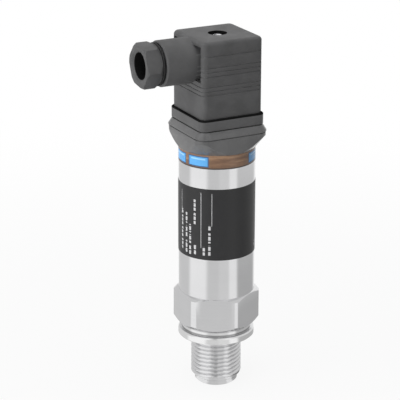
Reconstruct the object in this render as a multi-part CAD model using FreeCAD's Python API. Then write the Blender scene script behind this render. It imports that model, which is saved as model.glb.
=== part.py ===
import FreeCAD, Part
import math
import os

# Pressure transmitter with a G 1/2 process thread and a square four-pole valve plug.
# Millimetres. The origin is the centre of the flange's sealing face, +Z runs up the
# housing, and the cable gland points along -X.

Vector = FreeCAD.Vector
up = Vector(0, 0, 1)
gland_way = Vector(-1, 0, 0)

# Process thread, up to the sealing plane, and the plain tip below it
thread_r = 20.955 / 2
thread_length = 17.4
thread_lead_in = 1.9
tip_r = 8.9
tip_length = 4.0
tip_edge = 0.8

# Round housing tube, welded on, with the label foil wrapped round it
tube_r = 15.75
tube_wall = 1.2
tube_length = 56.3
tube_edge = 0.2
register_height = 2.9
fit_play = 0.05
label_thickness = 0.1
label_low = 37.7
label_height = 30.4
label_seam = 1.5
label_seam_angle = 62.0

# Flange with the seal groove in its underside, and the neck above it
seal_groove_r = 9.2
flange_overhang = 0.2
flange_height = 3.1
flange_edge = 0.5
seal_width = 2.7
seal_height = 1.5
seal_play = 0.05
neck_step = 1.25
neck_height = 2.5

# Hexagon, turned at its corners, with a flat cone below and a steep one above
flats_overhang = 0.25
corners_overhang = 2.05
hex_foot_step = 0.45
hex_foot_rise = 2.3
hex_side_height = 11.3
hex_shoulder_rise = 1.2

# Oil-filled sensor: diaphragm at the tip, drilled channel, cell in its pocket
diaphragm_r = 8.0
diaphragm_foil = 0.2
diaphragm_play = 0.05
diaphragm_seat_depth = 0.45
diaphragm_rim = 1.0
wave_height = 0.15
wave_count = 2
channel_r = 0.8
cell_r = 8.15
cell_play = 0.05
cell_height = 8.0
cell_lip = 1.2
cell_lip_height = 1.2
cell_well_r = 6.0
cell_well_depth = 2.0
glass_height = 1.8
pin_r = 0.3
pin_rows = 2
pins_in_row = 3
pin_spacing = 2.5
pin_height = 7.4
cell_drop = 6.2

# See-through band between the tube and the head
band_height = 5.6

# Electronics
holder_height = 3.0
holder_hole_r = 6.6
guide_height = 8.0
guide_half = 2.4
guide_grip = 1.8
board_inset = 2.45
board_thickness = 1.6
board_height = 34.7
board_neck_half = 8.0
board_tongue_half = 5.5
board_tongue_depth = 6.8
board_play = 0.05
top_board_r = 10.8
top_board_thickness = 1.6
solder_gap = 0.1
chip_depth = 1.4
processor_side = 10.0
processor_rise = 25.7
converter_width = 7.0
converter_height = 9.0
converter_rise = 18.2
amplifier_width = 5.0
amplifier_height = 6.2
amplifier_rise = 13.2
amplifier_spread = 4.6
capacitor_r = 2.5
capacitor_length = 5.4
low_capacitor_rise = 7.2
low_capacitor_spread = 6.5
high_capacitor_rise = 30.7
high_capacitor_spread = 5.5

# Head adapter: coned corners under a rounded square, and a skirt inside the tube
skirt_length = 15.3
skirt_bore_r = 11.05
ring_width = 1.5
ring_bevel = 0.45
ring_groove_depth = 1.45
ring_groove_width = 1.8
ring_groove_rise = 4.5
flare_overhang = 0.1
flare_corner = 4.95
flare_angle = 38.5
ledge_rise = 7.6
ledge_groove = 0.5
shoulder_overhang = 0.25
shoulder_slope_run = 1.5
shoulder_slope_drop = 2.3
adapter_height = 10.3

# Plug base: collar with a recess that takes the plug's foot, and a boss below
collar_half = 14.5
collar_corner = 3.0
collar_height = 5.0
collar_edge = 0.45
recess_depth = 1.4
plug_play = 0.25
boss_length = 7.4
boss_well_r = 5.0
boss_well_depth = 2.0
boss_hub_wall = 1.2

# Contacts
contact_radius = 9.0
blade_width = 6.3
blade_thickness = 0.8
blade_reach = 8.8
earth_reach = 10.0
blade_tip = 1.2
blade_foot = 2.0
tail_width = 2.8
tail_stub = 0.3
insert_r = 2.75
insert_length = 9.6
insert_cover = 0.6
screw_r = 1.45
screw_hole_play = 0.1

# Plug housing
gasket_thickness = 0.8
gasket_inset = 0.3
gasket_play = 0.3
plug_half = 13.6
plug_corner = 2.5
plug_height = 31.85
plug_top_edge = 1.6
plug_wall = 1.9
cavity_corner = 1.4
low_cavity_height = 13.9
top_wall = 3.65
pocket_half_width = 11.6
pocket_depth = 3.2
pocket_low = 15.5
pocket_height = 14.3
screw_boss_r = 5.3
screw_boss_length = 6.5
screw_recess_r = 3.8
screw_recess_depth = 4.6
groove_heights = [10.4, 12.1, 13.8, 18.0, 19.8, 21.6, 26.2]
groove_width = 0.35
groove_depth = 0.3

# Cable gland
gland_height = 22.25
sleeve_r = 9.3
sleeve_end = 26.7
sleeve_edge = 0.6
gland_thread_r = 8.0
gland_thread_play = 0.06
gland_thread_depth = 11.2
cable_way_r = 6.3
grommet_play = 0.3
grommet_length = 6.4
grommet_bore_r = 4.0
grommet_taper = 1.2
pressure_washer_thickness = 0.65
nut_flats = 16.3
nut_turn = 8.0
nut_hex_length = 6.35
nut_face_r = 8.6
nut_front_cone = 0.7
nut_back_cone = 1.1
nut_bore_r = 5.4
nut_mouth_r = 6.5
nut_mouth_depth = 0.8
nut_collar_r = 8.35
nut_collar_length = 0.4
stub_edge = 0.5
gland_washer_r = 8.7
gland_washer_thickness = 0.5
mouth_gap = 0.85
gland_gap = 0.1

# Terminal block and its clamps
block_play = 0.3
block_lift = 0.4
block_height = 9.6
block_corner = 1.1
socket_width = 7.7
socket_thickness = 3.0
socket_length = 10.9
socket_play = 0.15
slot_depth = 10.1
clamp_screw_r = 1.1
clamp_head_r = 1.9
clamp_head_height = 1.4
clamp_screw_depth = 0.8
clamp_slot_width = 0.5
clamp_slot_depth = 0.6

# Fixing screw and the washer under its head
screw_washer_thickness = 0.8
screw_washer_r = 3.6
screw_head_r = 2.9
screw_head_height = 1.8
screw_slot_width = 0.8
screw_slot_depth = 1.0
screw_grip = 5.25
screw_edge = 0.25

# Radii and heights that follow from the sizes above
flange_r = tube_r + flange_overhang
flange_top = flange_height
neck_r = tube_r - neck_step
neck_top = flange_top + neck_height
hex_flats = 2 * (tube_r + flats_overhang)
hex_corner_r = tube_r + corners_overhang
hex_foot_r = tube_r - hex_foot_step
hex_low = neck_top + hex_foot_rise
hex_high = hex_low + hex_side_height
weld_z = hex_high + hex_shoulder_rise
register_top = weld_z + register_height
tip_z = -(thread_length + tip_length)
tube_bore_r = tube_r - tube_wall
tube_top = weld_z + tube_length
adapter_z = tube_top + band_height
adapter_top = adapter_z + adapter_height
flare_half = tube_r + flare_overhang
shoulder_half = flare_half + shoulder_overhang
shoulder_corner = flare_corner + shoulder_overhang
ledge_z = adapter_z + ledge_rise
skirt_r = tube_bore_r - 2 * fit_play
skirt_z = adapter_z - skirt_length
collar_top = adapter_top + collar_height
recess_z = collar_top - recess_depth
boss_z = adapter_top - boss_length
plug_z = recess_z + gasket_thickness
plug_top = plug_z + plug_height
cavity_half = plug_half - plug_wall
low_cavity_top = plug_z + low_cavity_height
cavity_top = plug_top - top_wall
pocket_x = -(plug_half - pocket_depth)
gland_z = plug_z + gland_height
screw_seat_z = plug_top - screw_recess_depth
screw_hole_r = screw_r + 3 * screw_hole_play
cell_top = register_top - cell_drop
cell_shoulder_z = cell_top - cell_lip_height
cell_z = cell_shoulder_z - cell_height
cell_well_z = cell_top - cell_well_depth
board_half = tube_bore_r - board_inset
board_foot_z = register_top + holder_height
board_shoulder_z = board_foot_z + board_height
top_board_z = boss_z - top_board_thickness
insert_top = recess_z - insert_cover
insert_z = insert_top - insert_length
screw_end_z = insert_top - screw_grip
block_z = plug_z + block_lift
clamp_z = block_z + socket_length
grommet_start = sleeve_end - gland_thread_depth + gland_gap
stub_end = grommet_start + grommet_length + pressure_washer_thickness + gland_gap
washer_start = sleeve_end + mouth_gap
nut_collar_end = washer_start + gland_washer_thickness + gland_gap
nut_hex_back = nut_collar_end + nut_collar_length
nut_face = nut_hex_back + nut_hex_length


def revolve(points, axis=up, origin=Vector(0, 0, 0)):
    """Turned solid from (radius, distance along axis) points."""
    side = Vector(1, 0, 0) if axis == up else Vector(0, 1, 0)
    corners = [origin + side * r + axis * d for r, d in points]
    outline = Part.makePolygon(corners + corners[:1])
    return Part.Face(outline).revolve(origin, axis, 360)


def square_outline(half, corner, z):
    """Closed wire: level square with round corners."""
    flat = half - corner
    edges = []
    for k in range(4):
        turn = FreeCAD.Rotation(up, 90 * k)

        def place(x, y):
            return turn.multVec(Vector(x, y, z))

        bulge = flat + corner * math.sqrt(0.5)
        edges.append(Part.LineSegment(place(half, -flat), place(half, flat)).toShape())
        edges.append(Part.Arc(place(half, flat), place(bulge, bulge), place(flat, half)).toShape())
    return Part.Wire(edges)


def rounded_square(half, corner, z, height):
    """Upright prism with a square section and round corners."""
    return Part.Face(square_outline(half, corner, z)).extrude(up * height)


def sloped_square(half, corner, run, z, height):
    """The same with its sides leaning in by run over the height."""
    foot = square_outline(half, corner, z)
    top = square_outline(half - run, corner - run, z + height)
    return Part.makeLoft([foot, top], True, True)


def corner_reach(flats):
    """From the middle of a hexagon to its corners."""
    return flats / 2 / math.cos(math.radians(30))


def hexagon(flats, length, axis, origin, first_normal):
    """Hexagonal prism along axis, one flat facing first_normal."""
    start = FreeCAD.Rotation(axis, 30).multVec(first_normal) * corner_reach(flats)
    corners = [origin + FreeCAD.Rotation(axis, 60 * k).multVec(start) for k in range(6)]
    return Part.Face(Part.makePolygon(corners + corners[:1])).extrude(axis * length)


def pipe(outer, inner, z, height):
    """Upright hollow cylinder."""
    foot = Vector(0, 0, z)
    return Part.makeCylinder(outer, height, foot).cut(Part.makeCylinder(inner, height, foot))


def block(x0, x1, y0, y1, z0, z1):
    """Box between two corners."""
    return Part.makeBox(x1 - x0, y1 - y0, z1 - z0, Vector(x0, y0, z0))


def outer_edges(shape, z, half):
    """Edges that lie flat at height z, outside the square of the given half width."""
    found = []
    for edge in shape.Edges:
        box = edge.BoundBox
        reach = max(abs(box.XMin), abs(box.XMax), abs(box.YMin), abs(box.YMax))
        if abs(box.ZMin - z) < 1e-4 and abs(box.ZMax - z) < 1e-4 and reach > half:
            found.append(edge)
    return found


def around(solid):
    """The four places of a contact: the solid stands at +X and is turned about Z."""
    copies = []
    for k in range(4):
        copy = solid.copy()
        copy.rotate(Vector(0, 0, 0), up, 90 * k)
        copies.append(copy)
    return copies


def process_connection():
    """Flange, neck, hexagon, threaded stem and tip, turned and milled from one bar."""
    thread_end = -thread_length
    seat = tip_z + diaphragm_seat_depth
    chamber = seat + 2 * wave_height
    spigot_r = tube_bore_r - fit_play
    pocket_r = cell_r + cell_play
    lip_r = cell_r + cell_lip + cell_play
    outline = [
        (diaphragm_r + diaphragm_play, tip_z),
        (tip_r - tip_edge, tip_z),
        (tip_r, tip_z + tip_edge),
        (tip_r, thread_end - thread_lead_in),
        (thread_r, thread_end),
        (thread_r, 0),
        (seal_groove_r, 0),
        (seal_groove_r, seal_height),
        (seal_groove_r + seal_width + 2 * seal_play, seal_height),
        (seal_groove_r + seal_width + 2 * seal_play, 0),
        (flange_r - flange_edge, 0),
        (flange_r, flange_edge),
        (flange_r, flange_top - flange_edge),
        (flange_r - flange_edge, flange_top),
        (neck_r, flange_top),
        (neck_r, neck_top),
        (hex_foot_r, neck_top),
        (hex_corner_r, hex_low),
        (hex_corner_r, hex_high),
        (tube_r, weld_z),
        (spigot_r, weld_z),
        (spigot_r, register_top),
        (lip_r, register_top),
        (lip_r, cell_shoulder_z),
        (pocket_r, cell_shoulder_z),
        (pocket_r, cell_z),
        (channel_r, cell_z),
        (channel_r, chamber),
        (diaphragm_r - diaphragm_rim, chamber),
        (diaphragm_r - diaphragm_rim, seat),
        (diaphragm_r + diaphragm_play, seat),
    ]
    body = revolve(outline)
    below = Part.makeCylinder(2 * flange_r, neck_top - tip_z + 1, Vector(0, 0, tip_z - 1))
    above = Part.makeCylinder(2 * flange_r, register_height + 1, Vector(0, 0, weld_z))
    wrench = hexagon(hex_flats, weld_z - neck_top, up, Vector(0, 0, neck_top), Vector(1, 0, 0))
    return body.common(wrench.fuse([below, above])).removeSplitter()


def process_seal():
    """Moulded ring that fills the groove under the flange."""
    inner = seal_groove_r + seal_play
    return pipe(inner + seal_width, inner, 0, seal_height)


def isolating_diaphragm():
    """Thin steel disc with pressed waves, welded round its rim into the seat at the tip."""
    low = tip_z + diaphragm_seat_depth - diaphragm_foil
    lower = [(0, low)]
    pitch = (diaphragm_r - diaphragm_rim) / (wave_count + 0.5)
    for k in range(wave_count):
        start = pitch * (k + 0.5)
        lower.append((start, low))
        lower.append((start + pitch / 4, low + wave_height))
        lower.append((start + 3 * pitch / 4, low + wave_height))
        lower.append((start + pitch, low))
    lower.append((diaphragm_r, low))
    upper = [(r, z + diaphragm_foil) for r, z in reversed(lower)]
    return revolve(lower + upper)


def sensor_cell():
    """Steel cell body; its lip is welded on the shoulder of the pocket."""
    outline = [
        (channel_r, cell_z),
        (cell_r, cell_z),
        (cell_r, cell_shoulder_z),
        (cell_r + cell_lip, cell_shoulder_z),
        (cell_r + cell_lip, cell_top),
        (cell_well_r, cell_top),
        (cell_well_r, cell_well_z),
        (0, cell_well_z),
        (0, cell_z + channel_r),
        (channel_r, cell_z + channel_r),
    ]
    return revolve(outline)


def pin_places():
    """Centres of the cell's pins, in rows on either side of the board's tongue."""
    row_y = board_thickness / 2 + board_play + pin_r
    places = []
    for row in range(pin_rows):
        y = row_y * (2 * row - (pin_rows - 1))
        for k in range(pins_in_row):
            places.append((pin_spacing * (k - (pins_in_row - 1) / 2), y))
    return places


def cell_pins():
    """Gold-plated pins that come up through the glass."""
    pins = [Part.makeCylinder(pin_r, pin_height, Vector(x, y, cell_well_z)) for x, y in pin_places()]
    return Part.makeCompound(pins)


def cell_glass():
    """Glass disc melted into the cell's well round the pins."""
    disc = Part.makeCylinder(cell_well_r, glass_height, Vector(0, 0, cell_well_z))
    return disc.cut(cell_pins())


def housing_tube():
    """Plain stainless tube with small turned edges at its top."""
    outline = [
        (tube_bore_r, weld_z),
        (tube_r, weld_z),
        (tube_r, tube_top - tube_edge),
        (tube_r - tube_edge, tube_top),
        (tube_bore_r, tube_top),
    ]
    return revolve(outline)


def label_foil():
    """Foil wrapped round the tube, its two ends a little apart at the back."""
    ring = pipe(tube_r + label_thickness, tube_r, label_low, label_height)
    seam = block(0, 2 * tube_r, -label_seam / 2, label_seam / 2, label_low - 1, label_low + label_height + 1)
    seam.rotate(Vector(0, 0, 0), up, label_seam_angle)
    return ring.cut(seam)


def window_band():
    """Smoky ring clamped between the tube and the head."""
    return pipe(tube_r, skirt_r + fit_play, tube_top, band_height)


def board_holder():
    """Moulded ring with two grooved posts that carry the circuit board."""
    ring_r = tube_bore_r - fit_play
    top = board_foot_z + guide_height
    holder = pipe(ring_r, holder_hole_r, register_top, holder_height)
    outer = Part.makeCylinder(ring_r, guide_height, Vector(0, 0, board_foot_z))
    inner_x = board_half - guide_grip
    groove_half = board_thickness / 2 + board_play
    post = block(inner_x, ring_r, -guide_half, guide_half, board_foot_z, top).common(outer)
    post = post.cut(block(inner_x, board_half + board_play, -groove_half, groove_half, board_foot_z, top))
    opposite = post.copy()
    opposite.rotate(Vector(0, 0, 0), up, 180)
    return holder.fuse([post, opposite]).removeSplitter()


def circuit_board():
    """Upright board with a tongue between the cell's pins and a neck up to the top board."""
    top = top_board_z - solder_gap
    neck_z = board_shoulder_z + board_half - board_neck_half
    points = [
        (board_tongue_half, board_foot_z - board_tongue_depth),
        (board_tongue_half, board_foot_z),
        (board_half, board_foot_z),
        (board_half, board_shoulder_z),
        (board_neck_half, neck_z),
        (board_neck_half, top),
    ]
    points += [(-x, z) for x, z in reversed(points)]
    corners = [Vector(x, -board_thickness / 2, z) for x, z in points]
    outline = Part.makePolygon(corners + corners[:1])
    return Part.Face(outline).extrude(Vector(0, board_thickness, 0))


def chip(x, rise, width, height):
    """One flat package on the front face of the board."""
    front = -board_thickness / 2
    low = board_foot_z + rise - height / 2
    return block(x - width / 2, x + width / 2, front - chip_depth, front, low, low + height)


def board_chips():
    """Packages soldered on the board: three on its front face, one on the rear."""
    converter = chip(0, converter_rise, converter_width, converter_height)
    converter.rotate(Vector(0, 0, 0), up, 180)
    solids = [chip(0, processor_rise, processor_side, processor_side), converter]
    for x in (-amplifier_spread, amplifier_spread):
        solids.append(chip(x, amplifier_rise, amplifier_width, amplifier_height))
    return Part.makeCompound(solids)


def board_capacitors():
    """Round can capacitors that stand off the rear face of the board."""
    cans = []
    for spread, rise in (
        (low_capacitor_spread, low_capacitor_rise),
        (high_capacitor_spread, high_capacitor_rise),
    ):
        for x in (-spread, spread):
            foot = Vector(x, board_thickness / 2, board_foot_z + rise)
            cans.append(Part.makeCylinder(capacitor_r, capacitor_length, foot, Vector(0, 1, 0)))
    return Part.makeCompound(cans)


def top_board():
    """Round board across the head; the contact tails are soldered into it."""
    disc = Part.makeCylinder(top_board_r, top_board_thickness, Vector(0, 0, top_board_z))
    return disc.cut(all_blades())


def head_adapter():
    """Moulded head: round skirt and cone below, rounded square with a sloped shoulder above."""
    rise = ledge_z - adapter_z
    cone_r = tube_r + rise * math.tan(math.radians(flare_angle))
    cone = Part.makeCone(tube_r, cone_r, rise, Vector(0, 0, adapter_z))
    lower = rounded_square(flare_half, flare_corner, adapter_z, rise).common(cone)
    slope_z = adapter_top - shoulder_slope_drop
    shoulder = rounded_square(shoulder_half, shoulder_corner, ledge_z, slope_z - ledge_z)
    slope = sloped_square(shoulder_half, shoulder_corner, shoulder_slope_run, slope_z, shoulder_slope_drop)
    groove_low = ledge_z - ledge_groove
    wide = rounded_square(2 * flare_half, flare_corner, groove_low, ledge_groove)
    inset = rounded_square(flare_half - ledge_groove, flare_corner - ledge_groove, groove_low, ledge_groove)
    lower = lower.cut(wide.cut(inset))
    skirt = Part.makeCylinder(skirt_r, skirt_length, Vector(0, 0, skirt_z))
    groove_z = skirt_z + ring_groove_rise - ring_groove_width / 2
    groove = pipe(skirt_r + 1, skirt_r - ring_groove_depth, groove_z, ring_groove_width)
    body = lower.fuse([shoulder, slope, skirt]).cut(groove)
    bore = Part.makeCylinder(skirt_bore_r, adapter_top - skirt_z + 2, Vector(0, 0, skirt_z - 1))
    return body.cut(bore).removeSplitter()


def tube_seal():
    """Bevelled sealing ring in the skirt's groove, pressing on the tube's bore."""
    outer = tube_bore_r - fit_play / 2
    inner = outer - ring_width
    low = skirt_z + ring_groove_rise - ring_width / 2
    high = low + ring_width
    outline = [
        (inner + ring_bevel, low),
        (outer - ring_bevel, low),
        (outer, low + ring_bevel),
        (outer, high - ring_bevel),
        (outer - ring_bevel, high),
        (inner + ring_bevel, high),
        (inner, high - ring_bevel),
        (inner, low + ring_bevel),
    ]
    return revolve(outline)


def contact_blade(reach):
    """Flat blade at +X with a narrow solder tail and a chamfered tip."""
    half = blade_width / 2
    tail = tail_width / 2
    bottom = top_board_z - tail_stub
    shoulder = boss_z + blade_foot
    tip = recess_z + reach
    outline = [
        (-tail, bottom),
        (tail, bottom),
        (tail, shoulder),
        (half, shoulder),
        (half, tip - blade_tip),
        (half - blade_tip, tip),
        (-half + blade_tip, tip),
        (-half, tip - blade_tip),
        (-half, shoulder),
        (-tail, shoulder),
    ]
    x = contact_radius - blade_thickness / 2
    corners = [Vector(x, y, z) for y, z in outline]
    return Part.Face(Part.makePolygon(corners + corners[:1])).extrude(Vector(blade_thickness, 0, 0))


def contact_blades():
    """The three current-carrying blades."""
    return Part.makeCompound(around(contact_blade(blade_reach))[1:])


def earth_blade():
    """The earth blade stands a little higher, so that it meets first."""
    return contact_blade(earth_reach)


def all_blades():
    return Part.makeCompound([earth_blade()] + around(contact_blade(blade_reach))[1:])


def threaded_insert():
    """Brass bush moulded into the middle of the base for the fixing screw."""
    return pipe(insert_r, screw_r + screw_hole_play, insert_z, insert_length)


def plug_base():
    """Square collar with a recess for the plug's foot and a round boss into the head."""
    collar = rounded_square(collar_half, collar_corner, adapter_top, collar_height)
    edges = outer_edges(collar, adapter_top, 0) + outer_edges(collar, collar_top, 0)
    collar = collar.makeChamfer(collar_edge, edges)
    recess = rounded_square(plug_half + plug_play, plug_corner + plug_play, recess_z, recess_depth + 1)
    boss = Part.makeCylinder(skirt_bore_r - fit_play, boss_length, Vector(0, 0, boss_z))
    well = pipe(boss_well_r, insert_r + boss_hub_wall, boss_z, boss_well_depth)
    screw_way = Part.makeCylinder(screw_hole_r, recess_z - boss_z + 1, Vector(0, 0, boss_z))
    seat = Part.makeCylinder(insert_r, insert_length, Vector(0, 0, insert_z))
    base = collar.cut(recess).fuse(boss).removeSplitter()
    return base.cut([well, screw_way, seat, all_blades()])


def profile_gasket():
    """Flat gasket under the plug, open for the blades and the screw."""
    half = plug_half - gasket_inset
    sheet = rounded_square(half, plug_corner - gasket_inset, recess_z, gasket_thickness)
    slot_x = blade_thickness / 2 + gasket_play
    slot_y = blade_width / 2 + gasket_play
    slot = block(contact_radius - slot_x, contact_radius + slot_x, -slot_y, slot_y, recess_z, plug_z)
    hole = Part.makeCylinder(insert_r, gasket_thickness, Vector(0, 0, recess_z))
    return sheet.cut(around(slot) + [hole])


def grip_grooves():
    """Fine grooves round the plug that give the fingers hold."""
    floor_half = plug_half - groove_depth
    floor_corner = plug_corner - groove_depth
    rings = []
    for height in groove_heights:
        z = plug_z + height - groove_width / 2
        outer = rounded_square(plug_half + 1, plug_corner + 1, z, groove_width)
        rings.append(outer.cut(rounded_square(floor_half, floor_corner, z, groove_width)))
    return rings


def plug_housing():
    """Moulded plug: square block on thin walls, side pocket, gland sleeve and screw recess."""
    body = rounded_square(plug_half, plug_corner, plug_z, plug_height)
    body = body.makeFillet(plug_top_edge, outer_edges(body, plug_top, 0))
    pocket = block(
        -plug_half - 1, pocket_x, -pocket_half_width, pocket_half_width,
        plug_z + pocket_low, plug_z + pocket_low + pocket_height,
    )
    low_cavity = rounded_square(cavity_half, cavity_corner, plug_z, low_cavity_height)
    high_cavity = rounded_square(cavity_half, cavity_corner, low_cavity_top, cavity_top - low_cavity_top)
    keep = block(-2 * plug_half, pocket_x + plug_wall, -plug_half, plug_half, low_cavity_top, cavity_top)
    high_cavity = high_cavity.cut(keep)
    body = body.cut(grip_grooves() + [pocket, low_cavity, high_cavity])
    boss_low = cavity_top - screw_boss_length
    body = body.fuse(Part.makeCylinder(screw_boss_r, screw_boss_length, Vector(0, 0, boss_low)))
    body = body.fuse(gland_sleeve())
    bore_r = gland_thread_r + gland_thread_play
    mouth = Vector(-sleeve_end, 0, gland_z)
    thread_bore = Part.makeCylinder(bore_r, gland_thread_depth, mouth, Vector(1, 0, 0))
    way_length = sleeve_end + pocket_x + plug_wall
    cable_way = Part.makeCylinder(cable_way_r, way_length, mouth, Vector(1, 0, 0))
    recess = Part.makeCylinder(screw_recess_r, screw_recess_depth + 1, Vector(0, 0, screw_seat_z))
    screw_hole = Part.makeCylinder(screw_hole_r, plug_height, Vector(0, 0, plug_z))
    return body.cut([thread_bore, cable_way, recess, screw_hole]).removeSplitter()


def gland_sleeve():
    """Round sleeve that carries the gland, with a small chamfer at its mouth."""
    outline = [
        (0, 0),
        (sleeve_r, 0),
        (sleeve_r, sleeve_end + pocket_x - sleeve_edge),
        (sleeve_r - sleeve_edge, sleeve_end + pocket_x),
        (0, sleeve_end + pocket_x),
    ]
    return revolve(outline, gland_way, Vector(pocket_x, 0, gland_z))


def gland_nut():
    """Hexagonal compression screw with a funnel mouth, a collar and a threaded stub."""
    corner_r = corner_reach(nut_flats)
    outline = [
        (nut_bore_r, stub_end),
        (gland_thread_r - stub_edge, stub_end),
        (gland_thread_r, stub_end + stub_edge),
        (gland_thread_r, nut_collar_end),
        (nut_collar_r, nut_collar_end),
        (nut_collar_r, nut_hex_back),
        (corner_r, nut_hex_back + nut_back_cone),
        (corner_r, nut_face - nut_front_cone),
        (nut_face_r, nut_face),
        (nut_mouth_r, nut_face),
        (nut_bore_r, nut_face - nut_mouth_depth),
    ]
    centre = Vector(0, 0, gland_z)
    body = revolve(outline, gland_way, centre)
    stub = Part.makeCylinder(corner_r + 1, nut_hex_back, centre, gland_way)
    start = centre + gland_way * nut_hex_back
    flat_way = FreeCAD.Rotation(gland_way, -nut_turn).multVec(up)
    wrench = hexagon(nut_flats, nut_hex_length, gland_way, start, flat_way)
    return body.common(wrench.fuse(stub)).removeSplitter()


def gland_grommet():
    """Soft sleeve that the nut squeezes round the cable."""
    outer = gland_thread_r - grommet_play
    outline = [
        (grommet_bore_r, grommet_start),
        (outer - grommet_taper, grommet_start),
        (outer, grommet_start + grommet_taper),
        (outer, grommet_start + grommet_length),
        (grommet_bore_r, grommet_start + grommet_length),
    ]
    return revolve(outline, gland_way, Vector(0, 0, gland_z))


def flat_ring(outer, inner, start, thickness):
    """Flat washer on the gland's axis."""
    outline = [(inner, start), (outer, start), (outer, start + thickness), (inner, start + thickness)]
    return revolve(outline, gland_way, Vector(0, 0, gland_z))


def pressure_washer():
    """Thin ring between the nut's stub and the grommet."""
    start = grommet_start + grommet_length
    return flat_ring(gland_thread_r - grommet_play, nut_bore_r, start, pressure_washer_thickness)


def gland_washer():
    """Thin ring on the stub, held against the nut's collar, a little off the sleeve's mouth."""
    inner = gland_thread_r + gland_thread_play
    return flat_ring(gland_washer_r, inner, washer_start, gland_washer_thickness)


def terminal_block():
    """Moulded insert that holds the four spring sockets inside the plug."""
    body = rounded_square(cavity_half - block_play, block_corner, block_z, block_height)
    hole = Part.makeCylinder(screw_hole_r, block_height, Vector(0, 0, block_z))
    return body.cut(around(socket_body()) + [hole])


def socket_body():
    """Outside of one socket, at +X."""
    x0 = contact_radius - socket_thickness / 2
    x1 = contact_radius + socket_thickness / 2
    return block(x0, x1, -socket_width / 2, socket_width / 2, block_z, clamp_z)


def socket_contacts():
    """Four spring sockets, each open below for its blade and tapped above for its clamp screw."""
    slot_x = blade_thickness / 2 + socket_play
    slot_y = blade_width / 2 + socket_play
    x0 = contact_radius - slot_x
    x1 = contact_radius + slot_x
    slot = block(x0, x1, -slot_y, slot_y, block_z, block_z + slot_depth)
    return Part.makeCompound(around(socket_body().cut([slot, clamp_screw_shank()])))


def clamp_screw_shank():
    """Threaded end of one clamp screw, at +X."""
    foot = Vector(contact_radius, 0, clamp_z - clamp_screw_depth)
    return Part.makeCylinder(clamp_screw_r, clamp_screw_depth, foot)


def terminal_screws():
    """Slotted clamp screws on top of the sockets."""
    head = Part.makeCylinder(clamp_head_r, clamp_head_height, Vector(contact_radius, 0, clamp_z))
    top = clamp_z + clamp_head_height
    half = clamp_slot_width / 2
    x0 = contact_radius - clamp_head_r
    x1 = contact_radius + clamp_head_r
    slot = block(x0, x1, -half, half, top - clamp_slot_depth, top)
    return Part.makeCompound(around(head.cut(slot).fuse(clamp_screw_shank())))


def screw_washer():
    """Sealing washer under the head of the fixing screw."""
    return pipe(screw_washer_r, screw_r + screw_hole_play, screw_seat_z, screw_washer_thickness)


def fixing_screw():
    """Long slotted cheese-head screw that holds the plug on its base."""
    head_z = screw_seat_z + screw_washer_thickness
    top = head_z + screw_head_height
    outline = [
        (0, screw_end_z),
        (screw_r - screw_edge, screw_end_z),
        (screw_r, screw_end_z + screw_edge),
        (screw_r, head_z),
        (screw_head_r, head_z),
        (screw_head_r, top - screw_edge),
        (screw_head_r - screw_edge, top),
        (0, top),
    ]
    half = screw_slot_width / 2
    slot = block(-screw_head_r, screw_head_r, -half, half, top - screw_slot_depth, top)
    return revolve(outline).cut(slot)


makers = [
    process_connection, process_seal, isolating_diaphragm, sensor_cell, cell_glass, cell_pins,
    housing_tube, label_foil, window_band, board_holder, circuit_board, board_chips,
    board_capacitors, top_board, head_adapter, tube_seal, plug_base, contact_blades, earth_blade,
    threaded_insert, profile_gasket, plug_housing, terminal_block, socket_contacts,
    terminal_screws, gland_grommet, pressure_washer, gland_washer, gland_nut, screw_washer,
    fixing_screw,
]

os.makedirs("parts", exist_ok=True)
for maker in makers:
    maker().exportStep("parts/" + maker.__name__ + ".step")
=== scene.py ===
import math

import bpy
from mathutils import Matrix, Vector


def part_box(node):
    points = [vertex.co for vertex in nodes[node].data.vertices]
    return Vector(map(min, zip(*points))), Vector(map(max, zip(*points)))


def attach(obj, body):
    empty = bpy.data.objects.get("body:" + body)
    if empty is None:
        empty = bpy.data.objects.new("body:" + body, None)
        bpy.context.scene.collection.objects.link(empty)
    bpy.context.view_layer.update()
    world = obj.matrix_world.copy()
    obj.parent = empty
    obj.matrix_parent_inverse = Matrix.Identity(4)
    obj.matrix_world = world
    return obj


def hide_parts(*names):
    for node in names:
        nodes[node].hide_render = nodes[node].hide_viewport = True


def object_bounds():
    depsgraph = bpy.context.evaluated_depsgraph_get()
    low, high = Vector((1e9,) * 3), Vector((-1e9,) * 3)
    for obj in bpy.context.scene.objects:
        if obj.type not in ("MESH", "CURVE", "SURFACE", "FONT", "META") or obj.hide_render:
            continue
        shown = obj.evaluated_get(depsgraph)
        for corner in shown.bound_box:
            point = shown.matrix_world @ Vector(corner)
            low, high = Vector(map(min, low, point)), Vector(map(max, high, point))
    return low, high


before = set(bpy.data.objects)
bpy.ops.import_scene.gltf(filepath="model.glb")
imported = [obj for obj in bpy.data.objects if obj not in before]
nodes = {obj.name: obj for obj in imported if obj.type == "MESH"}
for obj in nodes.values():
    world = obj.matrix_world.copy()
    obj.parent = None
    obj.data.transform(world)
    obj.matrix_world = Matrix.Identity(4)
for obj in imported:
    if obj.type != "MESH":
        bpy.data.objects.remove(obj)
cad_box = [list(corner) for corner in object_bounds()]

# The studio: the camera stands where the photograph's stood, a long lens slightly above,
# and looks at the plug's corner with the gland pointing away to the left.
camera_data = bpy.data.cameras.new("photo_camera")
camera_data.lens = 158.8
camera_data.sensor_width = 36
camera_data.clip_start = 0.02
camera = bpy.data.objects.new("photo_camera", camera_data)
bpy.context.scene.collection.objects.link(camera)
camera.location = (-0.321673, -0.605456, 0.29629)
camera.rotation_euler = (math.radians(70.859), math.radians(-0.0796), math.radians(-27.3808))
bpy.context.scene.camera = camera
bpy.context.scene.view_settings.view_transform = "Standard"


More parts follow.
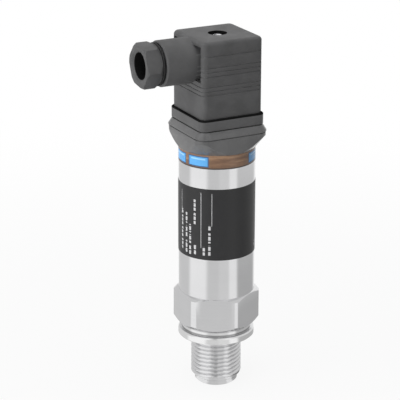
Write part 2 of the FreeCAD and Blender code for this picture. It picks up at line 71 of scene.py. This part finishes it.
# The floor is a sheet of white paper under the stem, and the room round it is white too.
# The camera sees both plain white, with a soft shadow; the metal sees them in lighter and
# greyer bands, which are fitted to the stripes on the photograph's steel.
class Signal:
    """A number, colour or vector on its way through a finish; sums are written as in Python."""

    def __init__(self, tree, socket=None):
        self.tree = tree
        self.socket = socket

    def node(self, kind, settings={}, inputs={}, out=0):
        made = self.tree.nodes.new(kind)
        for key, value in settings.items():
            setattr(made, key, value)
        for key, value in inputs.items():
            if isinstance(value, Signal):
                self.tree.links.new(value.socket, made.inputs[key])
            else:
                made.inputs[key].default_value = value
        return Signal(self.tree, made.outputs[out] if made.outputs else None)

    def math(self, operation, first, second=0.0):
        return self.node("ShaderNodeMath", {"operation": operation}, {0: first, 1: second})

    def __add__(self, other):
        return self.math("ADD", self, other)

    def __radd__(self, other):
        return self.math("ADD", other, self)

    def __sub__(self, other):
        return self.math("SUBTRACT", self, other)

    def __rsub__(self, other):
        return self.math("SUBTRACT", other, self)

    def __mul__(self, other):
        return self.math("MULTIPLY", self, other)

    def __rmul__(self, other):
        return self.math("MULTIPLY", other, self)

    def __truediv__(self, other):
        return self.math("DIVIDE", self, other)

    def __rtruediv__(self, other):
        return self.math("DIVIDE", other, self)

    def over(self, low, high):
        """0 below low, 1 above high, smooth between."""
        settings = {"interpolation_type": "SMOOTHSTEP"}
        return self.node("ShaderNodeMapRange", settings, {0: self, 1: low, 2: high, 3: 0.0, 4: 1.0})

    def within(self, low, high, soft):
        """1 between low and high, with soft edges."""
        return self.over(low - soft, low + soft) * (1 - self.over(high - soft, high + soft))

    def blend(self, first, second):
        """A colour between first and second, by this number."""
        return self.node("ShaderNodeMix", {"data_type": "RGBA"}, {0: self, 6: first, 7: second}, 2)

    def outputs(self, *names):
        """Several outputs of the node that this one comes from."""
        return [Signal(self.tree, self.socket.node.outputs[name]) for name in names]

    def split(self):
        """A vector's three numbers."""
        return self.node("ShaderNodeSeparateXYZ", inputs={"Vector": self}).outputs("X", "Y", "Z")

    def length(self):
        """A vector's length."""
        return self.node("ShaderNodeVectorMath", {"operation": "LENGTH"}, {0: self}, "Value")

    def noise(self, scale, detail):
        """Clouds from 0 to 1 at this place."""
        inputs = {"Vector": self, "Scale": scale, "Detail": detail}
        return self.node("ShaderNodeTexNoise", inputs=inputs)


def new_finish(name):
    """An empty finish, the start of its nodes and the place on the piece."""
    finish = bpy.data.materials.new(name)
    finish.use_nodes = True
    finish.node_tree.nodes.clear()
    start = Signal(finish.node_tree)
    return finish, start, start.node("ShaderNodeTexCoord", out="Object")


def dress(piece, finish):
    """Gives a piece its finish all over."""
    if not piece.material_slots:
        piece.data.materials.append(finish)
    for place in piece.material_slots:
        place.material = finish


def round_part(place):
    """Degrees round the part, to the right from the side that the camera sees; the height."""
    x, y, z = place.split()
    facing = math.radians(-118)
    ahead = x * math.cos(facing) + y * math.sin(facing)
    right = y * math.cos(facing) - x * math.sin(facing)
    return place.math("ARCTAN2", right, ahead) * (180 / math.pi), z


def studio_tone(place):
    """How light the studio is in each direction round the part, from 0 to 1."""
    turn, up = round_part(place)
    tone = 0.68
    for low, high, soft, change in [
        (-84, -28, 8, 0.34), (7, 190, 4, 0.06), (37, 61, 4, 0.22), (147, 176, 6, 0.22),
    ]:
        tone = tone + turn.within(low, high, soft) * change
    # The dim band on the right fades with the distance from the part.
    near = 1 - place.length().over(0.1, 0.36) * 0.85
    tone = tone - turn.within(64, 140, 5) * near * 0.3
    # The floor is brighter behind the gland.
    on_floor = 1 - up.over(0.0, 0.1)
    tone = tone + turn.within(-200, -152, 6) * on_floor * 0.3
    # A narrow dark band stands in front, where the camera is.
    return tone - turn.within(-13, 4, 3) * up.within(0.1, 0.95, 0.1) * 0.26


white = (1, 1, 1, 1)


def studio_look(start, place):
    """1 for what the camera sees by itself, in gloss or through glass; and its colour there."""
    rays = start.node("ShaderNodeLightPath")
    direct, gloss, through = rays.outputs(
        "Is Camera Ray", "Is Glossy Ray", "Is Transmission Ray")
    seen = start.math("MINIMUM", direct + gloss + through, 1.0)
    only_gloss = gloss * (1 - direct)
    return seen, (only_gloss * (1 - studio_tone(place))).blend(white, (0, 0, 0, 1))


bpy.ops.object.select_all(action="DESELECT")
bpy.ops.mesh.primitive_plane_add(size=6, location=(0, 0, cad_box[0][2] - 0.0002))
paper = bpy.context.object
paper.name = "paper_floor"
paper_white, start, place = new_finish("paper_white")
seen, look = studio_look(start, place)
paper_tint = place.noise(900.0, 3.0).blend((0.60, 0.60, 0.60, 1), (0.64, 0.64, 0.64, 1))
matt = start.node("ShaderNodeBsdfDiffuse", inputs={"Color": paper_tint})
glow = start.node("ShaderNodeEmission", inputs={"Color": look})
away = place.length().over(0.08, 0.4)
glow_share = seen * (0.9 + away * 0.1)
sheet = start.node("ShaderNodeMixShader", inputs={0: glow_share, 1: matt, 2: glow})
start.node("ShaderNodeOutputMaterial", inputs={"Surface": sheet})
dress(paper, paper_white)

room = bpy.data.worlds.new("white_room")
bpy.context.scene.world = room
room.use_nodes = True
room.node_tree.nodes.clear()
start = Signal(room.node_tree)
seen, look = studio_look(start, start.node("ShaderNodeTexCoord", out="Generated"))
air = start.node("ShaderNodeBackground", inputs={"Color": white, "Strength": 0.2})
walls = start.node("ShaderNodeBackground", inputs={"Color": look})
both = start.node("ShaderNodeMixShader", inputs={0: seen, 1: air, 2: walls})
start.node("ShaderNodeOutputWorld", inputs={"Surface": both})

# Two soft boxes: a large one to the left of the camera and one overhead. Gloss shows the
# bright walls in their place.
aim = Vector((0, 0, 0.07))
for name, stand, wide, tall, radiance in [
    ("side_box", (-0.92, -0.22, 0.16), 0.9, 0.34, 8.6),
    ("top_box", (-0.1, -0.05, 1.0), 0.9, 0.9, 3.6),
]:
    lamp = bpy.data.lights.new(name, "AREA")
    lamp.shape = "RECTANGLE"
    lamp.size = wide
    lamp.size_y = tall
    lamp.energy = radiance * math.pi * wide * tall
    box = bpy.data.objects.new(name, lamp)
    bpy.context.scene.collection.objects.link(box)
    box.location = stand
    box.rotation_euler = (aim - box.location).to_track_quat("-Z", "Y").to_euler()
    box.visible_glossy = False


# The process connection is turned and milled from one bar of stainless steel: plain tip,
# pipe thread, flange, neck and hexagon. Its thread groove is cut here, as on a lathe.
def take_over(node, name, body):
    """A whole-faced copy of a CAD node's mesh, which stands for it."""
    piece = bpy.data.objects.new(name, nodes[node].data.copy())
    bpy.context.scene.collection.objects.link(piece)
    bpy.ops.object.select_all(action="DESELECT")
    piece.select_set(True)
    bpy.context.view_layer.objects.active = piece
    bpy.ops.object.mode_set(mode="EDIT")
    bpy.ops.mesh.select_all(action="SELECT")
    bpy.ops.mesh.remove_doubles(threshold=1e-6)
    bpy.ops.mesh.dissolve_limited(angle_limit=math.radians(0.6))
    bpy.ops.object.mode_set(mode="OBJECT")
    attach(piece, body)
    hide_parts(node)
    return piece


def apply_all(piece):
    """Applies a piece's modifiers and shades it smooth up to its edges."""
    bpy.ops.object.select_all(action="DESELECT")
    piece.select_set(True)
    bpy.context.view_layer.objects.active = piece
    for modifier in list(piece.modifiers):
        bpy.ops.object.modifier_apply(modifier=modifier.name)
    bpy.ops.object.shade_smooth_by_angle(angle=math.radians(32))


def soften(piece, width):
    """Small rounded edges, as tools and moulds leave them."""
    bevel = piece.modifiers.new("edges", "BEVEL")
    bevel.width = width
    bevel.segments = 2
    bevel.limit_method = "ANGLE"
    bevel.angle_limit = math.radians(35)
    apply_all(piece)


def combine(piece, operation, other):
    """Cuts another object off a piece, or joins it on."""
    step = piece.modifiers.new("combine", "BOOLEAN")
    step.operation = operation
    step.solver = "EXACT"
    step.object = other
    apply_all(piece)


def cut_thread(piece, root, crest, pitch, turns, foot, axis=Matrix.Identity(4)):
    """Cuts a right-handed V groove; foot is its start along the thread's own axis."""
    # The tool's section is a triangle, one and a half times as deep as its radius. It is laid
    # into the plane of the axis, with one corner towards the axis, and wound up.
    reach = (crest - root) / 1.5
    bpy.ops.object.select_all(action="DESELECT")
    lying = Matrix(((0, -1, 0), (0, 0, -1), (1, 0, 0))).to_euler()
    bpy.ops.mesh.primitive_circle_add(
        vertices=3, radius=reach, location=(root + reach, 0, foot), rotation=lying)
    tool = bpy.context.object
    bpy.ops.object.transform_apply(location=True, rotation=True, scale=True)
    helix = tool.modifiers.new("helix", "SCREW")
    helix.axis = "Z"
    helix.angle = math.radians(360)
    helix.screw_offset = pitch
    helix.iterations = turns
    helix.steps = 64
    helix.render_steps = 64
    bpy.ops.object.modifier_apply(modifier="helix")
    bpy.ops.object.mode_set(mode="EDIT")
    bpy.ops.mesh.select_all(action="SELECT")
    bpy.ops.mesh.remove_doubles(threshold=1e-7)
    bpy.ops.mesh.select_all(action="SELECT")
    bpy.ops.mesh.fill_holes(sides=0)
    bpy.ops.mesh.select_all(action="SELECT")
    bpy.ops.mesh.normals_make_consistent(inside=False)
    bpy.ops.object.mode_set(mode="OBJECT")
    tool.data.transform(axis)
    combine(piece, "DIFFERENCE", tool)
    bpy.data.objects.remove(tool)


def turned_steel(name, tone, rings, grain, painted_bands=()):
    """Stainless steel with fine rings left by the lathe; tone is its lightness, and the painted
    bands, between two heights, go some way towards a painted tone: lighter is painted reflection,
    darker painted shade."""
    finish, start, place = new_finish(name)
    stretch = {"Vector": place, "Scale": (grain, grain, rings)}
    lines = start.node("ShaderNodeMapping", inputs=stretch).noise(1.0, 3.0)
    clouds = place.noise(90.0, 2.0)
    bright = (tone, tone, tone * 1.01, 1)
    dull = (tone * 0.95, tone * 0.95, tone * 0.96, 1)
    colour = (lines * 0.6 + clouds * 0.4).over(0.35, 0.65).blend(dull, bright)
    height = place.split()[2]
    # Each band paints light or shade into the steel's colour: painted reflection where lighter,
    # painted shade where darker.
    for low, high, way, painted_tone in painted_bands:
        in_painted_band = height.within(low, high, 0.00015)
        colour = (in_painted_band * way).blend(colour, (painted_tone, painted_tone, painted_tone, 1))
    relief = start.node("ShaderNodeBump", inputs={
        "Strength": 0.08, "Distance": 0.00001, "Height": lines,
    })
    metal = start.node("ShaderNodeBsdfPrincipled", inputs={
        "Base Color": colour, "Metallic": 1.0, "Roughness": 0.12 + lines * 0.06 + clouds * 0.04,
        "Anisotropic": 0.7, "Anisotropic Rotation": 0.25, "Normal": relief,
    })
    start.node("ShaderNodeOutputMaterial", inputs={"Surface": metal})
    return finish


stem = take_over("process_connection", "stem_and_hexagon", "housing")
soften(stem, width=0.00012)
cut_thread(stem, root=0.00932, crest=0.01086, pitch=0.001814, turns=9, foot=-0.0190)
# The flange and the middle of the neck are painted lighter, as painted reflection, and the
# neck's corners painted darker, as painted shade; the bands are fitted to the photograph.
dress(stem, turned_steel("bar_steel", tone=0.8, rings=5200, grain=22, painted_bands=[
    (-0.0001, 0.0030, 0.8, 0.95), (0.0041, 0.0050, 0.5, 0.95), (0.0032, 0.0039, 0.62, 0.08),
    (0.0050, 0.0056, 0.4, 0.1),
]))

# The isolating diaphragm is a thin stainless foil with pressed waves, welded round its rim
# into the seat at the stem's tip.
foil_steel = turned_steel("foil_steel", tone=0.7, rings=500, grain=900)
dress(nodes["isolating_diaphragm"], foil_steel)


# The process seal under the flange, the ring in the head's groove and the gasket under the
# plug are moulded nitrile rubber, matt black with a faint mould grain.
def moulded_rubber(name, tone):
    """Matt rubber with a powdery bloom."""
    finish, start, place = new_finish(name)
    bloom = place.noise(350.0, 4.0)
    black = (tone, tone, tone, 1)
    powder = (tone * 2, tone * 2, tone * 2.05, 1)
    relief = start.node("ShaderNodeBump", inputs={
        "Strength": 0.3, "Distance": 0.00003, "Height": place.noise(4000.0, 2.0),
    })
    rubber = start.node("ShaderNodeBsdfPrincipled", inputs={
        "Base Color": bloom.over(0.35, 0.75).blend(black, powder),
        "Roughness": 0.62 + bloom * 0.2, "Normal": relief,
    })
    start.node("ShaderNodeOutputMaterial", inputs={"Surface": rubber})
    return finish


seal_rubber = moulded_rubber("seal_rubber", tone=0.02)
for node in ("process_seal", "tube_seal", "profile_gasket"):
    dress(nodes[node], seal_rubber)

# The sensor cell is welded into the pocket behind the diaphragm; its gold-plated pins come
# up through a disc of fused glass.
dress(nodes["sensor_cell"], turned_steel("cell_steel", tone=0.66, rings=3500, grain=40))
fused_glass, start, place = new_finish("fused_glass")
swirl = place.noise(600.0, 3.0)
glass = start.node("ShaderNodeBsdfPrincipled", inputs={
    "Base Color": swirl.blend((0.05, 0.12, 0.10, 1), (0.14, 0.24, 0.2, 1)),
    "Roughness": 0.08 + swirl * 0.08, "Coat Weight": 0.5,
})
start.node("ShaderNodeOutputMaterial", inputs={"Surface": glass})
dress(nodes["cell_glass"], fused_glass)


def plated_metal(name, colour, dull, rough, metallic=1.0):
    """Plated metal, a little duller in patches."""
    finish, start, place = new_finish(name)
    patches = place.noise(700.0, 4.0)
    plate = start.node("ShaderNodeBsdfPrincipled", inputs={
        "Base Color": patches.over(0.4, 0.7).blend(colour, dull), "Metallic": metallic,
        "Roughness": rough + patches * 0.15,
    })
    start.node("ShaderNodeOutputMaterial", inputs={"Surface": plate})
    return finish


gold = plated_metal("pin_gold", (0.83, 0.6, 0.25, 1), (0.62, 0.42, 0.16, 1), rough=0.18)
dress(nodes["cell_pins"], gold)

# The housing tube is drawn stainless tube, ground round and welded on to the connection.
dress(nodes["housing_tube"], turned_steel("tube_steel", tone=0.8, rings=6500, grain=14))

# The label is a dark printed film wrapped round the tube. It carries thin light rules and
# short plain bars in columns, which run up the tube.
label_film, start, place = new_finish("label_film")
turn, height = round_part(place)
printed = 0.0
# Each rule: degrees round the tube, and its lower and upper end.
for middle, low, high in [
    (-62.5, 0.0556, 0.0656), (-23.5, 0.0427, 0.0664), (-6.9, 0.0524, 0.0663),
    (98, 0.0415, 0.0645), (142, 0.0415, 0.0645),
]:
    rule = turn.within(middle - 0.35, middle + 0.35, 0.25)
    printed = printed + rule * height.within(low, high, 0.0001)
# Each column of bars: degrees, lower and upper end, and the lengths of a word and a mark.
for middle, low, high, word, mark in [
    (-60.9, 0.0402, 0.0575, 0.0051, 0.0017), (-50.4, 0.0393, 0.0566, 0.0063, 0.0023),
    (-42.7, 0.0390, 0.0520, 0.0047, 0.0021), (-34.1, 0.0524, 0.0637, 0.0058, 0.0019),
    (-33.5, 0.0394, 0.0438, 0.0071, 0.0023), (-18.9, 0.0395, 0.0433, 0.0066, 0.0019),
    (-10.4, 0.0397, 0.0529, 0.0053, 0.0022), (76, 0.0400, 0.0425, 0.0067, 0.0019),
    (106, 0.0415, 0.0620, 0.0052, 0.0018), (115, 0.0415, 0.0560, 0.0061, 0.0023),
    (124, 0.0415, 0.0598, 0.0049, 0.0019), (133, 0.0415, 0.0500, 0.0057, 0.0021),
]:
    column = turn.within(middle - 1.7, middle + 1.7, 0.3) * height.within(low, high, 0.0001)
    along = height - low
    words = start.math("FRACT", along / word).within(0.02, 0.84, 0.02)
    marks = start.math("FRACT", along / mark).within(-0.5, 0.76, 0.05)
    printed = printed + column * words * marks
scuffs = place.noise(240.0, 5.0)
film_black = scuffs.blend((0.010, 0.010, 0.0105, 1), (0.018, 0.018, 0.019, 1))
cover = start.math("MINIMUM", printed, 0.85)
film = start.node("ShaderNodeBsdfPrincipled", inputs={
    "Base Color": cover.blend(film_black, (0.6, 0.6, 0.61, 1)), "Roughness": 0.36 + scuffs * 0.12,
})
start.node("ShaderNodeOutputMaterial", inputs={"Surface": film})
dress(nodes["label_foil"], label_film)

# The window is a ring of smoky amber plastic between tube and head, with painted shade along its
# foot.
# Two groups of three plain blue blocks are printed on it, with a gap in front and one behind.
smoky_amber, start, place = new_finish("smoky_amber")
turn, height = round_part(place)
stretched = start.node("ShaderNodeMapping", inputs={"Vector": place, "Scale": (60, 60, 420)})
drift = stretched.noise(1.0, 3.0)
smoke = drift.over(0.3, 0.7).blend((0.15, 0.08, 0.046, 1), (0.36, 0.21, 0.12, 1))
block_low, block_high = 0.0773, 0.0817
# Painted shade: the ring's foot is made dark, as a shadow line under the ring.
clear_of_foot_shade = height.over(block_low - 0.0004, block_low) * 0.85 + 0.15
smoke = clear_of_foot_shade.blend((0.03, 0.025, 0.022, 1), smoke)
block = 0.0
field = 0.0
streak = 0.0
rim_turn, rim_height = 1.6, 0.0004
for left, right in [(-126, -92), (-86, -52), (-46, -12), (54, 88), (94, 128), (134, 168)]:
    block = block + turn.within(left, right, 0.5) * height.within(block_low, block_high, 0.0001)
    inner = turn.within(left + rim_turn, right - rim_turn, 0.5)
    field = field + inner * height.within(block_low + rim_height, block_high - rim_height, 0.0001)
    streak = streak + turn.within(left + 5, right - 5, 0.6) * height.within(0.0802, 0.0808, 0.0001)
blue = field.blend((0.02, 0.09, 0.22, 1), (0.10, 0.38, 0.76, 1))
blue = streak.blend(blue, (0.30, 0.60, 0.88, 1))
window = start.node("ShaderNodeBsdfPrincipled", inputs={
    "Base Color": block.blend(smoke, blue), "Roughness": 0.22 + drift * 0.1, "Coat Weight": 0.15,
})
start.node("ShaderNodeOutputMaterial", inputs={"Surface": window})
dress(nodes["window_band"], smoky_amber)

# The electronics: a moulded holder, a green laminate board with its packages and cans, and
# the round board under the plug base.
laminate, start, place = new_finish("laminate")
tracks = start.node("ShaderNodeTexVoronoi",
                    {"feature": "DISTANCE_TO_EDGE", "distance": "CHEBYCHEV"},
                    {"Vector": place, "Scale": 700.0})
copper = 1 - tracks.over(0.06, 0.1)
weave = place.noise(2500.0, 2.0)
resist = weave.blend((0.008, 0.075, 0.03, 1), (0.014, 0.11, 0.045, 1))
relief = start.node("ShaderNodeBump", inputs={
    "Strength": 0.4, "Distance": 0.00004, "Height": copper,
})
board = start.node("ShaderNodeBsdfPrincipled", inputs={
    "Base Color": copper.blend(resist, (0.03, 0.19, 0.07, 1)), "Roughness": 0.3 + weave * 0.15,
    "Normal": relief,
})
start.node("ShaderNodeOutputMaterial", inputs={"Surface": board})
dress(nodes["circuit_board"], laminate)
dress(nodes["top_board"], laminate)


def times(colour, factor):
    """A colour, lighter or darker."""
    return tuple(part * factor for part in colour) + (1,)


def moulded_plastic(name, colour, rough, grain, depth, coat=0.0, painted_shade=None, painted_light=None):
    """Moulded plastic: slight mottling, the mould's fine texture and faint rubbed spots; painted
    shade, dark and dull, where the shade mask, given the place, says 1, and painted light, paler,
    where the light mask does."""
    finish, start, place = new_finish(name)
    mottle = place.noise(160.0, 3.0).over(0.35, 0.65)
    fine = place.noise(grain, 2.0)
    rubbed = place.noise(420.0, 6.0).over(0.62, 0.75)
    tint = mottle.blend(times(colour, 0.9), times(colour, 1.12))
    tint = (rubbed * 0.25).blend(tint, times(colour, 1.5))
    # Painted light: the colour is made paler where the light mask says 1.
    if painted_light:
        tint = painted_light(place).blend(tint, times(colour, 1.7))
    relief = start.node("ShaderNodeBump", inputs={
        "Strength": depth, "Distance": 0.00003, "Height": fine,
    })
    plastic = start.node("ShaderNodeBsdfPrincipled", inputs={
        "Base Color": tint, "Roughness": rough + fine * 0.12 - rubbed * 0.06,
        "Coat Weight": coat, "Coat Roughness": 0.12, "Normal": relief,
    })
    # Painted shade: a dark, dull wall is mixed in where the shade mask says 1.
    if painted_shade:
        painted_shade_wall = start.node("ShaderNodeBsdfDiffuse", inputs={"Color": (0.009, 0.009, 0.009, 1)})
        mix = {0: painted_shade(place), 1: plastic, 2: painted_shade_wall}
        plastic = start.node("ShaderNodeMixShader", inputs=mix)
    start.node("ShaderNodeOutputMaterial", inputs={"Surface": plastic})
    return finish


for node, finish in [
    ("board_chips", moulded_plastic(
        "package_resin", (0.02, 0.02, 0.021), rough=0.45, grain=3500, depth=0.3)),
    ("board_holder", moulded_plastic(
        "holder_plastic", (0.32, 0.32, 0.30), rough=0.45, grain=2500, depth=0.25)),
    ("board_capacitors", plated_metal(
        "can_aluminium", (0.72, 0.73, 0.75, 1), (0.55, 0.56, 0.58, 1), rough=0.28)),
]:
    dress(nodes[node], finish)

# The head adapter is moulded from glossy dark plastic; round below and square above, it
# carries the plug base on its shoulder and closes the tube with its skirt.
head = take_over("head_adapter", "head_shell", "housing")
soften(head, width=0.0003)
dress(head, moulded_plastic(
    "head_plastic", (0.072, 0.072, 0.073), rough=0.3, grain=900, depth=0.1, coat=1.0))

# The plug base is a square moulded collar on a round boss; brass insert and tinned blades
# # are moulded in. The dark line under the plug is painted shadow: a black band along the rim's
# top.
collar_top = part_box("plug_base")[1][2]


def rim_painted_shadow(place):
    """1 along the top of the collar's rim, which is painted black as painted shadow under the plug.
    """
    return place.split()[2].over(collar_top - 0.0008, collar_top - 0.0006)


base = take_over("plug_base", "base_collar", "housing")
soften(base, width=0.00015)
dress(base, moulded_plastic(
    "base_plastic", (0.053, 0.053, 0.054), rough=0.46, grain=2600, depth=0.3, coat=0.6,
    painted_shade=rim_painted_shadow))
tinned = plated_metal("tinned", (0.75, 0.74, 0.72, 1), (0.58, 0.57, 0.55, 1), rough=0.22)
for node in ("contact_blades", "earth_blade", "socket_contacts"):
    dress(nodes[node], tinned)
brass = plated_metal("insert_brass", (0.72, 0.52, 0.22, 1), (0.5, 0.36, 0.16, 1), rough=0.25)
dress(nodes["threaded_insert"], brass)


# The plug housing is moulded nylon with a fine matt texture. Fine grooves run round it, and
# # the gland's sleeve leaves a pocket in its side. The screw recess is painted dark, as painted
# shade.
def recess_painted_shade(place):
    """1 inside the recess for the fixing screw, where its wall is painted dark as painted shade."""
    x, y, height = place.split()
    radius = place.math("SQRT", x * x + y * y)
    return (1 - radius.over(0.0038, 0.0040)) * height.over(0.105, 0.106)


def groove_painted_light(place):
    """1 in the grooves, which are painted paler as painted light against their shade, because the
    photograph shows them faint; on the gland's side two of them stay dark."""
    x, _, height = place.split()
    half_width = 0.00018
    groove_light = 0.0
    for side_low, side_high, rises in [
        (-0.0139, -0.0137, (0.1091, 0.1150, 0.1168, 0.1186, 0.1232)),
        (-0.0128, -0.0124, (0.1074, 0.1108)),
    ]:
        off_sleeve = x.over(side_low, side_high)
        for rise in rises:
            groove = height.within(rise - half_width, rise + half_width, 0.00004)
            groove_light = groove_light + groove * off_sleeve
    return groove_light


shell = take_over("plug_housing", "plug_shell", "plug")
soften(shell, width=0.00012)
dress(shell, moulded_plastic(
    "plug_nylon", (0.066, 0.066, 0.067), rough=0.46, grain=2400, depth=0.3,
    painted_shade=recess_painted_shade, painted_light=groove_painted_light))

# The terminal block inside the plug holds the spring sockets and their clamp screws.
dress(nodes["terminal_block"], moulded_plastic(
    "block_plastic", (0.03, 0.03, 0.031), rough=0.4, grain=2600, depth=0.3))
zinc_grey = (0.74, 0.74, 0.76, 1)
zinc_dull = (0.6, 0.6, 0.62, 1)
zinc = plated_metal("zinc", zinc_grey, zinc_dull, rough=0.22)
dress(nodes["terminal_screws"], zinc)

# The cable gland: soft grommet, thin thrust ring, slip ring and a hexagonal nylon nut with a
# moulded thread, which squeezes the grommet round the cable.
# The grommet is black rubber made darker still, and both rings are made near black: painted shade
# deep in the bore and in the gap before the sleeve.
dress(nodes["gland_grommet"], moulded_rubber("grommet_rubber", tone=0.006))
ring_plastic = moulded_plastic(
    "ring_plastic", (0.012, 0.012, 0.012), rough=0.6, grain=2600, depth=0.25)
dress(nodes["pressure_washer"], ring_plastic)
dress(nodes["gland_washer"], ring_plastic)
gland_low, gland_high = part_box("gland_washer")
gland_z = (gland_low[2] + gland_high[2]) / 2


def bore_painted_shade(place):
    """1 inside the nut's bore, whose wall is painted dark as painted shade."""
    _, y, z = place.split()
    above = z - gland_z
    return 1 - place.math("SQRT", y * y + above * above).over(0.0054, 0.0056)


nut = take_over("gland_nut", "gland_compression_nut", "gland_nut")
soften(nut, width=0.00015)
along_gland = Matrix.Translation((0, 0, gland_z)) @ Matrix.Rotation(math.radians(-90), 4, "Y")
cut_thread(nut, root=0.0072, crest=0.00838, pitch=0.0015, turns=3, foot=0.0225, axis=along_gland)
# The nut's bore is painted dark inside, as painted shade.
dress(nut, moulded_plastic(
    "nut_nylon", (0.064, 0.064, 0.065), rough=0.42, grain=2400, depth=0.3, painted_shade=bore_painted_shade))

# The fixing screw is a long slotted steel screw, zinc plated, with a washer under its head;
# its thread engages the brass insert. Only a glint of its head shows in the recess, and a dome
# on either side of the slot gives that.
dress(nodes["screw_washer"], zinc)
screw = take_over("fixing_screw", "captive_screw", "fixing_screw")
cut_thread(screw, root=0.00121, crest=0.00156, pitch=0.0005, turns=18, foot=0.0899)
head_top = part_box("fixing_screw")[1][2]
bpy.ops.object.select_all(action="DESELECT")
bpy.ops.mesh.primitive_uv_sphere_add(
    segments=48, ring_count=24, radius=0.00265, location=(0, 0, head_top - 0.00005))
dome = bpy.context.object
dome.scale = (1, 1, 0.62)
bpy.ops.object.transform_apply(location=True, rotation=True, scale=True)
bpy.ops.mesh.primitive_cube_add(size=1, location=(0, 0, head_top))
slot = bpy.context.object
slot.scale = (0.008, 0.0009, 0.004)
bpy.ops.object.transform_apply(location=True, rotation=True, scale=True)
combine(dome, "DIFFERENCE", slot)
combine(screw, "UNION", dome)
for tool in (dome, slot):
    bpy.data.objects.remove(tool)
dress(screw, plated_metal("screw_zinc", zinc_grey, zinc_dull, rough=0.22, metallic=0.6))
